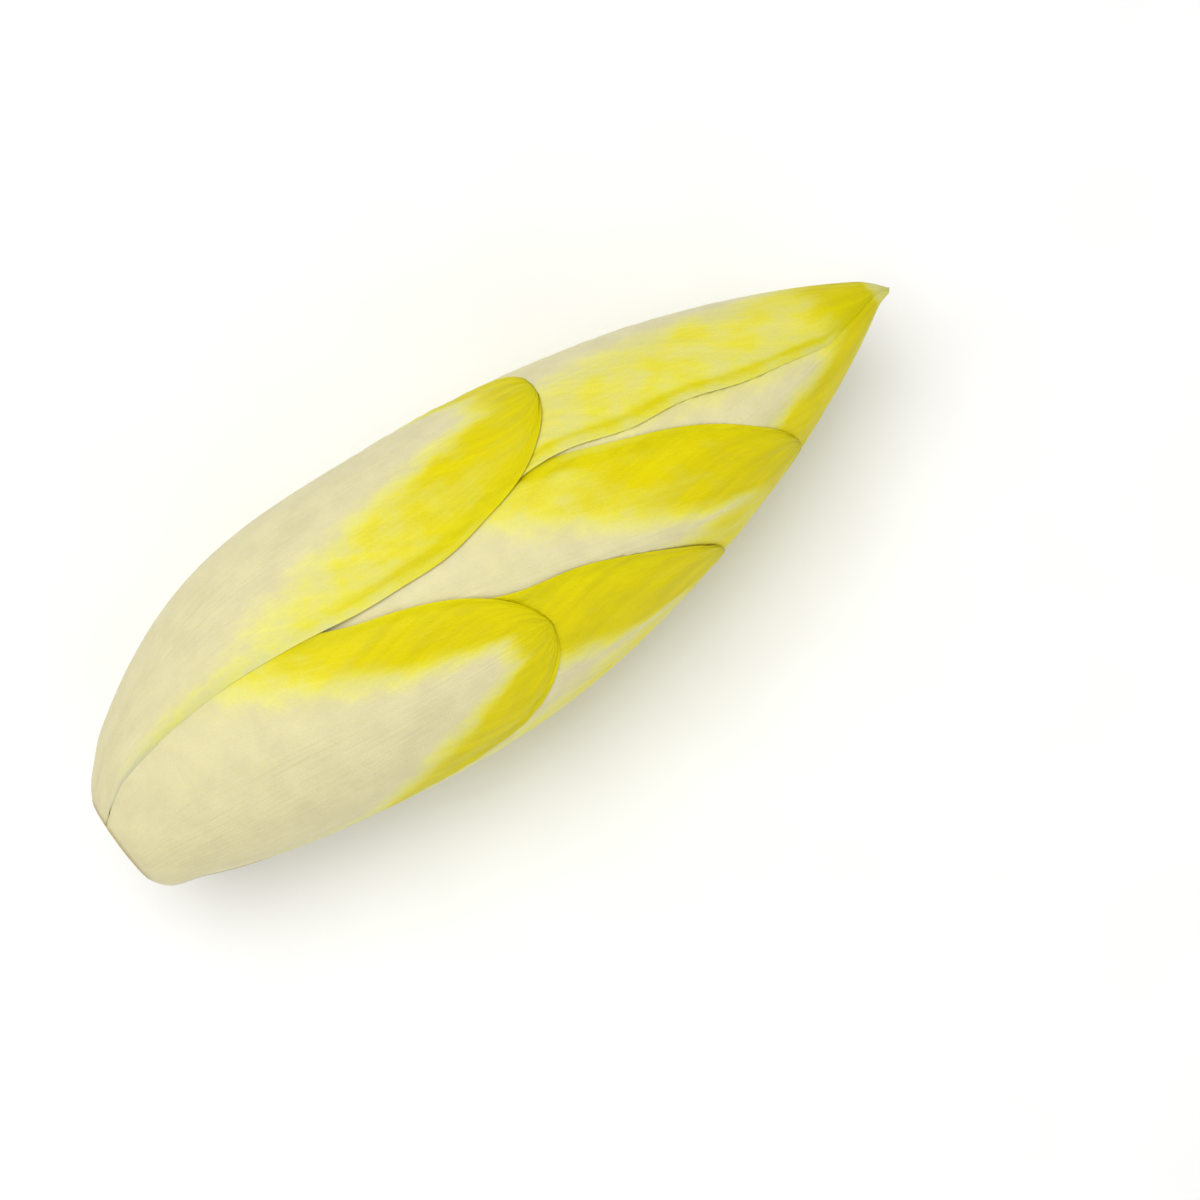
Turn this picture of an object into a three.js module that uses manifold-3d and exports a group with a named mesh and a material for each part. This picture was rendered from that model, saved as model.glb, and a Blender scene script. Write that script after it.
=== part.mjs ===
// A Belgian endive, or witloof chicory: one whole head, as picked, cut from its root and lying on its side.
// Units are millimetres, +Z is up and the head rests on the plane Z = 0.
// The head's axis runs along +X, from the cut base to the tip. The origin is below the middle of the head.
//
// The head is a short stem core, a bud of the youngest leaves at the heart, and the leaves that wrap them.
// Leaves are placed from the outside in. Each one lies against the leaves that already cover it, so the
// depth that is taken under the head's outline is kept as a field, and every leaf adds its thickness to it.

import * as THREE from "three";
import { mergeVertices } from "three/addons/utils/BufferGeometryUtils.js";
import Module from "manifold-3d";

const { clamp, degToRad, euclideanModulo, lerp, smoothstep } = THREE.MathUtils;

// ---- Driving dimensions ----

const LENGTH = 155; // cut base to tip
const GIRTH_RADIUS = 27; // radius where the head is widest
const WIDEST_SHARE = 0.4; // share of the length where it is widest
const CUT_RADIUS = 9.2; // radius of the head at the cut base
const CORE_RADIUS = 5.6; // radius of the stem core at the cut
const CORE_HEIGHT = 42; // how far the core reaches up into the head
const BUD_FROM = 43.5; // where the heart bud starts, just above the core
const BUD_TO = 126; // where the heart bud ends
const BUD_RADIUS = 12; // its greatest radius
const LEAF_GAP = 0.5; // clear space between one leaf and the next
const OLD_RIB = 4; // thickness that the midrib adds to the outermost leaf, low down
const YOUNG_RIB = 1.7; // the same, on the innermost leaf
const BLADE_THICKNESS = 1; // of a leaf beside its midrib
const EDGE_THICKNESS = 0.5; // of a leaf at its margin
const TIP_HALF_WIDTH = 0.8; // where a leaf's rounded tip closes
const FOOT_HALF_ANGLE = 50; // degrees that a leaf's foot wraps to each side
const CUT_FOOT_HALF_ANGLE = 72; // the same, on the oldest leaves, whose feet close the cut base all round
const FOOT_STEP = 1.6; // each leaf's foot stands this much higher on the core than the one before
const FEET_AT_CUT = 3; // the oldest leaves, whose feet are cut flush with the core
const LEAF_WIDEST_SHARE = 0.4; // share of a leaf's length where it is widest
const HEAD_ROLL = 10; // degrees that the head is rolled about its axis, towards -Y
const REST_DEPTH = 0.8; // how far the belly is pressed flat by the head's own weight

// Side bulge of the head towards +Y: a long shallow bow and a fuller belly near the base.
const BOW = 1;
const BELLY = 3.2;
const BELLY_AT = 0.2;
const BELLY_SPREAD = 0.19;

// Mesh steps of one leaf, and the grid of the depth field.
const ACROSS = 10;
const ALONG = 14;
const CELL_X = 1;
const CELL_ANGLE = 2;
const COLUMNS = LENGTH / CELL_X + 1;
const RAYS = 360 / CELL_ANGLE;
const FIELD_MARGIN = 5; // degrees past a leaf's margin that it still takes depth
const DRAPE_X = 3; // how far a leaf bridges a step above it, along the head
const DRAPE_ANGLE = 8; // the same, in degrees round the head

// ---- Leaves, outermost first ----
// angle: where the leaf's tip stands, in degrees from the top of the head towards +Y
// slant: degrees that its foot stands ahead of its tip
// tip: how far it reaches, as a share of the head's length
// half: its greatest half width in millimetres
// lean: how much wider its half towards +Y is than the other, as a share of the half width
// footLean: the same for its foot, where the foot isn't even
// point: how pointed the tip is, from 0.4 (round) upwards

const LEAVES = [
  { name: "outer_leaf_01", angle: 60, slant: 1, tip: 0.625, half: 23, lean: 0, footLean: 0.6, point: 0.5 },
  { name: "outer_leaf_02", angle: 196, slant: 6, tip: 0.61, half: 25, lean: 0, point: 0.55 },
  { name: "outer_leaf_03", angle: -26, slant: 0, tip: 0.495, half: 20.5, lean: -0.1, footLean: 0.15, point: 0.62 },
  { name: "outer_leaf_04", angle: 128, slant: 5, tip: 0.69, half: 20, lean: 0, point: 0.55 },
  { name: "outer_leaf_05", angle: -74, slant: 32, tip: 0.69, half: 24, lean: -0.1, point: 0.5 },
  { name: "outer_leaf_06", angle: 222, slant: 8, tip: 0.76, half: 20, lean: 0, point: 0.6 },
  { name: "middle_leaf_07", angle: 73, slant: -3, tip: 0.995, half: 20.5, lean: 0, point: 0.46 },
  { name: "middle_leaf_08", angle: 205, slant: 10, tip: 0.88, half: 22, lean: 0, point: 0.65 },
  { name: "middle_leaf_09", angle: -69, slant: 70, tip: 0.821, half: 21.5, lean: 0, point: 0.45 },
  { name: "middle_leaf_10", angle: 145, slant: 6, tip: 0.93, half: 20, lean: 0, point: 0.65 },
  { name: "middle_leaf_11", angle: -24, slant: 14, tip: 0.98, half: 21, lean: 0, point: 0.55 },
  { name: "middle_leaf_12", angle: -112, slant: 6, tip: 0.93, half: 20, lean: 0, point: 0.65 },
  { name: "inner_leaf_13", angle: 98, slant: 8, tip: 0.94, half: 17, lean: 0, point: 0.7 },
  { name: "inner_leaf_14", angle: -128, slant: 8, tip: 0.92, half: 16.5, lean: 0, point: 0.7 },
  { name: "inner_leaf_15", angle: 8, slant: 8, tip: 0.92, half: 16, lean: 0, point: 0.7 },
  { name: "inner_leaf_16", angle: 146, slant: 8, tip: 0.91, half: 15, lean: 0, point: 0.7 },
  { name: "inner_leaf_17", angle: -76, slant: 8, tip: 0.89, half: 14, lean: 0, point: 0.7 },
  { name: "inner_leaf_18", angle: 62, slant: 8, tip: 0.88, half: 13, lean: 0, point: 0.7 },
  { name: "heart_leaf_19", angle: 186, slant: 8, tip: 0.87, half: 12.5, lean: 0, point: 0.7 },
  { name: "heart_leaf_20", angle: -34, slant: 8, tip: 0.85, half: 12, lean: 0, point: 0.7 },
  { name: "heart_leaf_21", angle: 106, slant: 8, tip: 0.83, half: 11.5, lean: 0, point: 0.7 },
  { name: "heart_leaf_22", angle: -112, slant: 8, tip: 0.81, half: 11, lean: 0, point: 0.7 },
];

// ---- The shape of the whole head ----

function headRadius(x) {
  const share = clamp(x / LENGTH, 0, 1);
  if (share < WIDEST_SHARE) {
    const down = (WIDEST_SHARE - share) / WIDEST_SHARE;
    return CUT_RADIUS + (GIRTH_RADIUS - CUT_RADIUS) * (1 - down ** 2.3) ** 0.9;
  }
  const up = (share - WIDEST_SHARE) / (1 - WIDEST_SHARE);
  return GIRTH_RADIUS * (1 - up ** 2) ** 0.9;
}

function headBow(x) {
  const share = x / LENGTH;
  const belly = BELLY * Math.exp(-(((share - BELLY_AT) / BELLY_SPREAD) ** 2));
  return BOW * Math.sin(Math.PI * share) + belly * smoothstep(share, 0, 0.05);
}

function coreRadius(x) {
  return CORE_RADIUS * Math.max(0, 1 - x / CORE_HEIGHT) ** 0.6;
}

// A point of the head at a distance along its axis, an angle round it and a radius from it.
function headPoint(x, angle, radius) {
  return new THREE.Vector3(x, headBow(x) + radius * Math.sin(angle), radius * Math.cos(angle));
}

// ---- The depth taken under the head's outline ----

const cell = (column, ray) => column * RAYS + euclideanModulo(ray, RAYS);
const highest = (values) => Math.max(...values);
const average = (values) => values.reduce((sum, v) => sum + v, 0) / values.length;

// Each cell becomes combine() of the cells within reach of it, first along the head and then round it.
function filterField(field, combine) {
  const pass = (from, reach, neighbour) => {
    const to = new Float64Array(from.length);
    for (let i = 0; i < COLUMNS; i++)
      for (let j = 0; j < RAYS; j++) {
        const values = [];
        for (let d = -reach; d <= reach; d++) values.push(from[neighbour(i, j, d)]);
        to[cell(i, j)] = combine(values);
      }
    return to;
  };
  const along = pass(field, Math.round(DRAPE_X / CELL_X), (i, j, d) => cell(clamp(i + d, 0, COLUMNS - 1), j));
  return pass(along, Math.round(DRAPE_ANGLE / CELL_ANGLE), (i, j, d) => cell(i, j + d));
}

// How deep the next leaf's outer face lies: a smooth cover that bridges the steps between the leaves above.
function coverOf(depth) {
  return filterField(filterField(depth, highest), average).map((d, k) => Math.max(d, depth[k]));
}

function sampleField(field, x, angle) {
  const u = clamp(x / CELL_X, 0, COLUMNS - 1);
  const w = euclideanModulo(angle / degToRad(CELL_ANGLE), RAYS);
  const i = Math.min(Math.floor(u), COLUMNS - 2);
  const j = Math.floor(w);
  const near = lerp(field[cell(i, j)], field[cell(i, j + 1)], w - j);
  const far = lerp(field[cell(i + 1, j)], field[cell(i + 1, j + 1)], w - j);
  return lerp(near, far, u - i);
}

// ---- One leaf ----

function leafMiddle(leaf, share) {
  return degToRad(leaf.angle + leaf.slant * (1 - share ** 3));
}

// Half the angle that the leaf wraps on one side: side is 1 towards +Y and -1 the other way.
function leafHalfAngle(leaf, share, x, side) {
  const up = clamp((share - LEAF_WIDEST_SHARE) / (1 - LEAF_WIDEST_SHARE), 0, 1);
  const half = leaf.half * (1 + side * leaf.lean) * (1 - up ** 3.2) ** leaf.point;
  const wrap = Math.max(half, TIP_HALF_WIDTH) / headRadius(x);
  const footAngle = leaf.foot > 0 ? FOOT_HALF_ANGLE : CUT_FOOT_HALF_ANGLE;
  const grasp = degToRad(footAngle * (1 + side * (leaf.footLean ?? 0)));
  return Math.min(lerp(grasp, wrap, smoothstep(share, 0, 0.7)), degToRad(88));
}

// Thickness where across runs from -1 to 1 over the leaf: a broad midrib, a thin blade, a thinner margin.
function leafThickness(leaf, share, across, x) {
  const ribSpread = 0.75 - 0.5 * share;
  const rib = leaf.rib * (1 - share) ** 0.8 * Math.exp(-((across / ribSpread) ** 2));
  const blade = BLADE_THICKNESS * (1 - 0.35 * share);
  const body = (rib + blade) * lerp(leaf.foot > 0 ? 0.5 : 1, 1, smoothstep(x - leaf.foot, 0, 25));
  return lerp(body, EDGE_THICKNESS, Math.abs(across) ** 3) * clamp(headRadius(x) / 12, 0.5, 1);
}

// A leaf's foot grips the core, then flares out as the whole head does, until it meets the leaf outside it.
function flareRadius(leaf, x) {
  const grip = coreRadius(leaf.foot) + LEAF_GAP + leafThickness(leaf, 0, 0, leaf.foot);
  return grip + 1.15 * (headRadius(x - leaf.foot) - CUT_RADIUS);
}

const softMin = (a, b, width) => (a + b - Math.hypot(a - b, width)) / 2;

function leafFaces(leaf, cover, share, across, x, angle) {
  const free = headRadius(x) - sampleField(cover, x, angle);
  const outer = leaf.foot > 0 ? softMin(free, flareRadius(leaf, x), 1.2) : free;
  const floor = coreRadius(x) + LEAF_GAP;
  const inner = Math.max(outer - leafThickness(leaf, share, across, x), lerp(floor, outer, 0.55));
  return { outer, inner };
}

// Adds the leaf, and a clear gap under it, to the depth that is taken.
function takeDepth(depth, leaf, cover) {
  const tipX = leaf.tip * LENGTH;
  for (let i = 0; i < COLUMNS; i++) {
    const x = i * CELL_X;
    if (x < leaf.foot - CELL_X || x > tipX + CELL_X) continue;
    const share = clamp((x - leaf.foot) / (tipX - leaf.foot), 0, 1);
    for (let j = 0; j < RAYS; j++) {
      const angle = j * degToRad(CELL_ANGLE);
      const off = euclideanModulo(angle - leafMiddle(leaf, share) + Math.PI, 2 * Math.PI) - Math.PI;
      const half = leafHalfAngle(leaf, share, x, Math.sign(off)) + degToRad(FIELD_MARGIN);
      if (Math.abs(off) > half) continue;
      const { inner } = leafFaces(leaf, cover, share, off / half, x, angle);
      depth[cell(i, j)] = Math.max(depth[cell(i, j)], headRadius(x) - inner + LEAF_GAP);
    }
  }
}

// Steps along the leaf crowd towards its foot and its tip, where it bends most.
function alongShare(step) {
  return lerp(step, (1 - Math.cos(Math.PI * step)) / 2, 0.75);
}

// A box bent into the leaf: its X runs across the leaf, its Y through it and its Z from foot to tip.
function leafGeometry(leaf, cover) {
  const box = new THREE.BoxGeometry(2, 2, 1, ACROSS, 1, ALONG);
  const position = box.attributes.position;
  for (let k = 0; k < position.count; k++) {
    const across = position.getX(k);
    const share = alongShare(position.getZ(k) + 0.5);
    const x = lerp(leaf.foot, leaf.tip * LENGTH, share);
    const angle = leafMiddle(leaf, share) + across * leafHalfAngle(leaf, share, x, Math.sign(across));
    const { outer, inner } = leafFaces(leaf, cover, share, across, x, angle);
    const p = headPoint(x, angle, position.getY(k) > 0 ? outer : inner);
    position.setXYZ(k, p.x, p.y, p.z);
  }
  return box;
}

// ---- Core and heart bud ----

function coreGeometry() {
  const profile = [new THREE.Vector2(0, 0)];
  for (let x = 0; x < CORE_HEIGHT; x += CORE_HEIGHT / 10) profile.push(new THREE.Vector2(coreRadius(x), x));
  profile.push(new THREE.Vector2(0, CORE_HEIGHT));
  const lathe = new THREE.LatheGeometry(profile, 24);
  lathe.rotateZ(-Math.PI / 2); // the lathe's axis, Y, becomes the head's axis, X
  const position = lathe.attributes.position;
  for (let k = 0; k < position.count; k++) position.setY(k, position.getY(k) + headBow(position.getX(k)));
  return lathe;
}

// A sphere drawn out along the axis, filling what the leaves leave of the room.
function budGeometry(depth) {
  const cover = coverOf(depth);
  const sphere = new THREE.SphereGeometry(1, 20, 14);
  sphere.rotateZ(-Math.PI / 2); // the poles lie along the head's axis
  const position = sphere.attributes.position;
  for (let k = 0; k < position.count; k++) {
    const pole = clamp(position.getX(k), -1, 1);
    const x = lerp(BUD_FROM, BUD_TO, (pole + 1) / 2);
    const angle = Math.atan2(position.getY(k), position.getZ(k));
    const free = Math.max(headRadius(x) - sampleField(cover, x, angle) - LEAF_GAP, 0.5);
    const radius = Math.min(free, BUD_RADIUS) * Math.sqrt(1 - pole ** 2) ** 0.8;
    const p = headPoint(x, angle, radius);
    position.setXYZ(k, p.x, p.y, p.z);
  }
  return sphere;
}

// ---- The flat on the belly ----

const wasm = await Module();
wasm.setup();

function toSolid(geometry) {
  const bare = new THREE.BufferGeometry();
  bare.setAttribute("position", geometry.attributes.position.clone());
  bare.setIndex(geometry.index);
  const merged = mergeVertices(bare, 1e-3);
  return new wasm.Manifold(
    new wasm.Mesh({
      numProp: 3,
      vertProperties: merged.attributes.position.array,
      triVerts: new Uint32Array(merged.index.array),
    }),
  );
}

function toGeometry(solid) {
  const mesh = solid.getMesh();
  const geometry = new THREE.BufferGeometry();
  geometry.setAttribute("position", new THREE.BufferAttribute(mesh.vertProperties, 3));
  geometry.setIndex(new THREE.BufferAttribute(mesh.triVerts, 1));
  return geometry;
}

// Cuts off what would lie below the plane Z = 0 of the part's frame.
function restFlat(geometry, headMatrix) {
  const placed = geometry.clone().applyMatrix4(headMatrix);
  placed.computeBoundingBox();
  if (placed.boundingBox.min.z >= 0) return geometry;
  const table = new THREE.BoxGeometry(3 * LENGTH, 3 * LENGTH, LENGTH).translate(0, 0, -LENGTH / 2);
  table.applyMatrix4(headMatrix.clone().invert());
  return toGeometry(toSolid(geometry).subtract(toSolid(table)));
}

// ---- Assembly ----

const leafSkin = new THREE.MeshStandardMaterial({ color: 0xe6dfa0, roughness: 0.45, metalness: 0 });
const heartSkin = new THREE.MeshStandardMaterial({ color: 0xece38a, roughness: 0.5, metalness: 0 });
const stemFlesh = new THREE.MeshStandardMaterial({ color: 0xe4d9b4, roughness: 0.6, metalness: 0 });

function namedMesh(name, geometry, material) {
  const mesh = new THREE.Mesh(geometry, material);
  mesh.name = name;
  return mesh;
}

const head = new THREE.Group();
head.rotation.x = degToRad(HEAD_ROLL);
head.position.set(-LENGTH / 2, 0, GIRTH_RADIUS - REST_DEPTH);
head.updateMatrixWorld(true);

head.add(namedMesh("stem_core", coreGeometry(), stemFlesh));
const depth = new Float64Array(COLUMNS * RAYS);
LEAVES.forEach((leaf, order) => {
  leaf.foot = FOOT_STEP * Math.max(0, order - FEET_AT_CUT + 1);
  leaf.rib = lerp(OLD_RIB, YOUNG_RIB, order / (LEAVES.length - 1));
  const cover = coverOf(depth);
  head.add(namedMesh(leaf.name, restFlat(leafGeometry(leaf, cover), head.matrixWorld), leafSkin));
  takeDepth(depth, leaf, cover);
});
head.add(namedMesh("heart_bud", budGeometry(depth), heartSkin));

// The part's origin is below the middle of the head, so the head moves along the table to stand over it.
const middle = new THREE.Box3().setFromObject(head, true).getCenter(new THREE.Vector3());
head.position.x -= middle.x;
head.position.y -= middle.y;

const endive = new THREE.Group();
endive.add(head);
export default endive;
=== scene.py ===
import math

import bpy
import numpy as np
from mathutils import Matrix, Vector


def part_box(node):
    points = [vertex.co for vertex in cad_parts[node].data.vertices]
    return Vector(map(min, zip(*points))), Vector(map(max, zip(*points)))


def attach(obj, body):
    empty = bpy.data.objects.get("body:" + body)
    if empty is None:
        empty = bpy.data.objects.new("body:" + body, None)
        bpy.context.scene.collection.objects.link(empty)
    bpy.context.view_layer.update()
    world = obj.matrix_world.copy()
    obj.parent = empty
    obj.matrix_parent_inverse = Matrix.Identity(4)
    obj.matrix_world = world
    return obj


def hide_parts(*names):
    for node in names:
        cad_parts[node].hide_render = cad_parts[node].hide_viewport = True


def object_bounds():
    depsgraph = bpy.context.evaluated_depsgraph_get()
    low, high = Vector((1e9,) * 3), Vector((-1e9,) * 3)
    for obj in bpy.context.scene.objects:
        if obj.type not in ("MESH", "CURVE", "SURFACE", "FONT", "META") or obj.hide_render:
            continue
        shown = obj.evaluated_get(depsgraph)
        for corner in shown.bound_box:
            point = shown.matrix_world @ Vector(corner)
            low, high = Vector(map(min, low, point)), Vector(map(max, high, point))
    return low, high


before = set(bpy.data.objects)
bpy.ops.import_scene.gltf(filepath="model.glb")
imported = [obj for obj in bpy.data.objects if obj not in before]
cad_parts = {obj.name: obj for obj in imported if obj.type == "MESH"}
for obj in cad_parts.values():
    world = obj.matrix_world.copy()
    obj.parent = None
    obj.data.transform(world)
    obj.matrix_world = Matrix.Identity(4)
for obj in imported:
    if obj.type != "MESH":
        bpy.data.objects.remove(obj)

# A head of Belgian endive lying on a pale table. Each leaf is grown here at full detail in the room that
# its plain solid has in the frame: the head's outline comes from the frame, and the leaves are laid from
# the outside in, each one against the leaves that already cover it. Lengths are in metres, and leaf angles
# are in degrees round the head, from straight up towards +Y. A share is a part of a whole, from 0 to 1:
# along the head or a leaf it runs from the foot to the tip. A place across a leaf runs from -1 at one
# margin through 0 at the midrib to 1 at the margin towards +Y.

MM = 0.001
CAD_LOW, CAD_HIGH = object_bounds()
FLOOR = CAD_LOW.z

# ---- The head as a whole ----

LENGTH = (CAD_HIGH.x - CAD_LOW.x) / 0.995  # cut base to tip; the longest solid ends just short of it
BASE_X = CAD_LOW.x
GIRTH_RADIUS = 27 * MM
WIDEST_SHARE = 0.4  # share of the length where the head is widest
CUT_RADIUS = 9.2 * MM
BASE_FULLNESS = 2.3  # how long the head stays wide towards its base
TIP_FULLNESS = 2  # the same, towards its tip
SHOULDER = 0.9  # below 1 the outline comes in more roundly at both ends
RIM_DROP = 1.2 * MM  # how far the cut's rim is rounded off
RIM_LENGTH = 2.5 * MM
CORE_RADIUS = 5.6 * MM
CORE_HEIGHT = 42 * MM
CORE_TAPER = 0.6
REST_DEPTH = 0.8 * MM  # how far the belly is pressed flat
HEAD_ROLL = math.radians(10)
AXIS_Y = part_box("stem_core")[0][1] + CORE_RADIUS
AXIS_Z = FLOOR + GIRTH_RADIUS - REST_DEPTH

# Side bulge of the head towards +Y: a long shallow bow and a fuller belly near the base.
BOW = 1 * MM
BELLY = 3.2 * MM
BELLY_AT = 0.2
BELLY_SPREAD = 0.19
TIP_CURL = 1.2 * MM  # the last few millimetres bend aside
CURL_FROM = 0.97
CURL_LENGTH = 0.025

# ---- Leaf bodies ----

LEAF_GAP = 0.015 * MM  # clear space between one leaf and the next
OLD_RIB = 4.3 * MM  # thickness that the midrib adds to the outermost leaf, low down
YOUNG_RIB = 1.9 * MM  # the same, on the innermost leaf
RIB_WIDTH = (0.75, 0.25)  # half width of the midrib at the foot and at the tip, as a place across
RIB_TAPER = 0.8
BLADE_THICKNESS = 1.0 * MM
BLADE_THINNING = 0.35  # share of the blade's thickness that is gone at the tip
EDGE_THICKNESS = 0.08 * MM
EDGE_ROUNDING = 0.25 * MM
FOOT_EDGE = 0.3  # thickness of the margins at the foot, as a share of the edge's
MARGIN_TAPER = 0.7  # the blade thickens over this share of its half width, from the margin inwards
SLIM_RADIUS = 14 * MM  # where the head is slimmer than this, its leaves are thinner too
SLIMMEST = 0.3
GRIP_LENGTH = 25 * MM  # a foot that stands on the core thickens over this length
GRIP_SHARE = 0.5  # how thick such a foot starts
FOOT_HALF_ANGLE = 52  # how far a leaf's foot wraps to each side
CUT_FOOT_HALF_ANGLE = 76  # the same, on the oldest leaves, whose feet close the cut base all round
MOST_HALF_ANGLE = 88
FOOT_STEP = 1.6 * MM  # each leaf's foot stands this much higher than the one before
FOOT_FILL = 3 * MM  # how much thicker the feet are at the cut, where they grow out of the core
FILL_HEIGHT = 6 * MM
FILL_TAPER = 0.8
FEET_AT_CUT = 3  # the oldest leaves, whose feet are cut flush with the core
FLARE = 1.15  # how fast a foot on the core may lean out, against the head's own outline
FLARE_ROUNDING = 1.2 * MM
LEAF_WIDEST_SHARE = 0.4
LEAF_FULLNESS = 3.2  # how long a leaf stays wide towards its tip
DRAPE_X = 0.7 * MM  # how far a leaf bridges a step above it, along the head
DRAPE_ANGLE = 1  # the same, in degrees round the head
OUTSIDE_LEAVES = 12  # the oldest leaves, which show
SHORT_TIP = 0.95  # a leaf that ends below this share has a thin tip against the leaves under it

# ---- Leaf surfaces ----

RIDGE_HEIGHT = 0.16 * MM  # of the midrib above the blade
FOLD_DEPTH = 0.15 * MM
FOLD_SIZE = (14 * MM, 7 * MM)  # along the leaf and across it
OLD_PUCKER = 0.08 * MM  # height of the blisters between the veins of the six oldest leaves
YOUNG_PUCKER = 0.15 * MM  # the same, on the other leaves
PUCKER_SIZE = (4.5 * MM, 6 * MM)
PUCKER_SLANT = 0.7
CREASE_AT = 0.1  # the crease beside each margin, as a share of the half width
CREASE_DEPTH = 0.25 * MM
FLUTE_DEPTH = 0.08 * MM  # of the shallow flutes on a leaf's lower part
FLUTE_TURNS = 17
RELIEF_RADIUS = 16 * MM  # where the head is slimmer than this, its relief is lower too
WAVE_LENGTH = 22 * MM  # of the wavy margins
OLD_WAVE = 0.018
YOUNG_WAVE = 0.028
MARGIN_WARMTH = 0.4  # yellow along the margins even where a leaf is cream
CREASE_PAINTED_SHADE = 0.3  # painted shade: a line of darker yellow laid in the crease that runs beside each margin
END_PALENESS = 0.6  # how much of the yellow the head's very tip has lost
CUT_BROWNING = 0.9 * MM  # how far up the cut feet are browned

CELL_X = 0.35 * MM
CELL_ANGLE = 0.5
COLUMNS = int(round(LENGTH / CELL_X)) + 1
RAYS = int(round(360 / CELL_ANGLE))

# The yellow of one side of a leaf: the share of the leaf where it leaves the margin, the share where it is
# full, its reach towards the midrib and its strength.
OUTER_YELLOW = (0.4, 0.8, 0.9, 0.9)
OUTER_PALER = (0.4, 0.8, 0.9, 0.8)
MIDDLE_YELLOW = (0.5, 0.9, 0.9, 0.7)
MIDDLE_FULLER = (0.5, 0.9, 0.9, 0.8)
INNER_YELLOW = (0.5, 1.0, 0.9, 0.6)
HEART_YELLOW = (0.4, 1.0, 0.9, 0.6)

# Each row: frame node, tip angle, slant of the foot ahead of the tip, tip's share of the head's length, half
# width in mm, lean of the width and of the foot towards +Y, pointedness, and the yellow of the side towards
# +Y and of the other side.
LEAVES = [
    ("outer_leaf_01", 60, 1, 0.625, 23, 0, 0.6, 0.50, (0.72, 0.95, 0.9, 0.9), (0.2, 1.08, 1.05, 1.0)),
    ("outer_leaf_02", 196, 6, 0.610, 25, 0, 0, 0.55, (0.35, 0.8, 0.9, 0.9), OUTER_YELLOW),
    ("outer_leaf_03", -26, 0, 0.495, 20.5, -0.1, 0.15, 0.62, (0.12, 0.8, 0.9, 1.0), (0.42, 0.65, 0.95, 1.0)),
    ("outer_leaf_04", 128, 5, 0.690, 20, 0, 0, 0.55, OUTER_YELLOW, OUTER_PALER),
    ("outer_leaf_05", -74, 32, 0.690, 24, -0.1, 0, 0.50, (0.25, 0.6, 1.2, 1.0), (0.25, 0.7, 1.25, 0.6)),
    ("outer_leaf_06", 222, 8, 0.760, 20, 0, 0, 0.60, OUTER_PALER, OUTER_PALER),
    ("middle_leaf_07", 73, -3, 0.998, 20.5, 0, 0, 0.46, (0.75, 0.95, 0.9, 0.8), (0.1, 0.7, 1.12, 0.52)),
    ("middle_leaf_08", 205, 10, 0.900, 22, 0, 0, 0.65, MIDDLE_YELLOW, MIDDLE_YELLOW),
    ("middle_leaf_09", -69, 70, 0.821, 21.5, 0, 0, 0.45, (0.42, 1.02, 1.2, 1.0), (0.35, 0.8, 1.2, 0.7)),
    ("middle_leaf_10", 152, 4, 0.993, 20, 0, 0, 0.55, MIDDLE_YELLOW, MIDDLE_YELLOW),
    ("middle_leaf_11", -24, 14, 0.996, 21, 0, 0, 0.55, (0.5, 0.95, 1.1, 0.6), (0.35, 0.8, 1.1, 1.0)),
    ("middle_leaf_12", -118, 8, 0.990, 20.5, 0, 0, 0.55, MIDDLE_YELLOW, MIDDLE_FULLER),
    ("inner_leaf_13", 98, 8, 0.940, 17, 0, 0, 0.70, INNER_YELLOW, INNER_YELLOW),
    ("inner_leaf_14", -128, 8, 0.920, 16.5, 0, 0, 0.70, INNER_YELLOW, INNER_YELLOW),
    ("inner_leaf_15", 8, 8, 0.920, 16, 0, 0, 0.70, INNER_YELLOW, INNER_YELLOW),
    ("inner_leaf_16", 146, 8, 0.910, 15, 0, 0, 0.70, INNER_YELLOW, INNER_YELLOW),
    ("inner_leaf_17", -76, 8, 0.890, 14, 0, 0, 0.70, INNER_YELLOW, INNER_YELLOW),
    ("inner_leaf_18", 62, 8, 0.880, 13, 0, 0, 0.70, INNER_YELLOW, INNER_YELLOW),
    ("heart_leaf_19", 186, 8, 0.870, 12.5, 0, 0, 0.70, HEART_YELLOW, HEART_YELLOW),
    ("heart_leaf_20", -34, 8, 0.850, 12, 0, 0, 0.70, HEART_YELLOW, HEART_YELLOW),
    ("heart_leaf_21", 106, 8, 0.830, 11.5, 0, 0, 0.70, HEART_YELLOW, HEART_YELLOW),
    ("heart_leaf_22", -112, 8, 0.810, 11, 0, 0, 0.70, HEART_YELLOW, HEART_YELLOW),
]


class Leaf:
    """One row of LEAVES, with what follows from its age. Order 0 is the oldest, outermost leaf."""

    def __init__(self, order, row):
        (self.node, self.angle, self.slant, self.tip, half, self.lean, self.foot_lean, self.point,
         self.yellow_plus, self.yellow_minus) = row
        old = order < 6
        self.order = order
        self.half = half * MM
        self.tip_x = self.tip * LENGTH
        self.foot = FOOT_STEP * max(0, order - FEET_AT_CUT + 1)
        self.rib = OLD_RIB + (YOUNG_RIB - OLD_RIB) * order / (len(LEAVES) - 1)
        self.short = self.tip < SHORT_TIP
        self.pucker = OLD_PUCKER if old else YOUNG_PUCKER
        self.wave = OLD_WAVE if old else YOUNG_WAVE
        self.across_steps, self.along_steps = (84, 150) if order < OUTSIDE_LEAVES else (40, 70)


def smoothstep(x, low, high):
    t = np.clip((x - low) / (high - low), 0, 1)
    return t * t * (3 - 2 * t)


def mix(a, b, t):
    return a + (b - a) * t


def bell(x, middle, width):
    return np.exp(-(((x - middle) / width) ** 2))


# ---- The shape of the whole head ----

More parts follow.
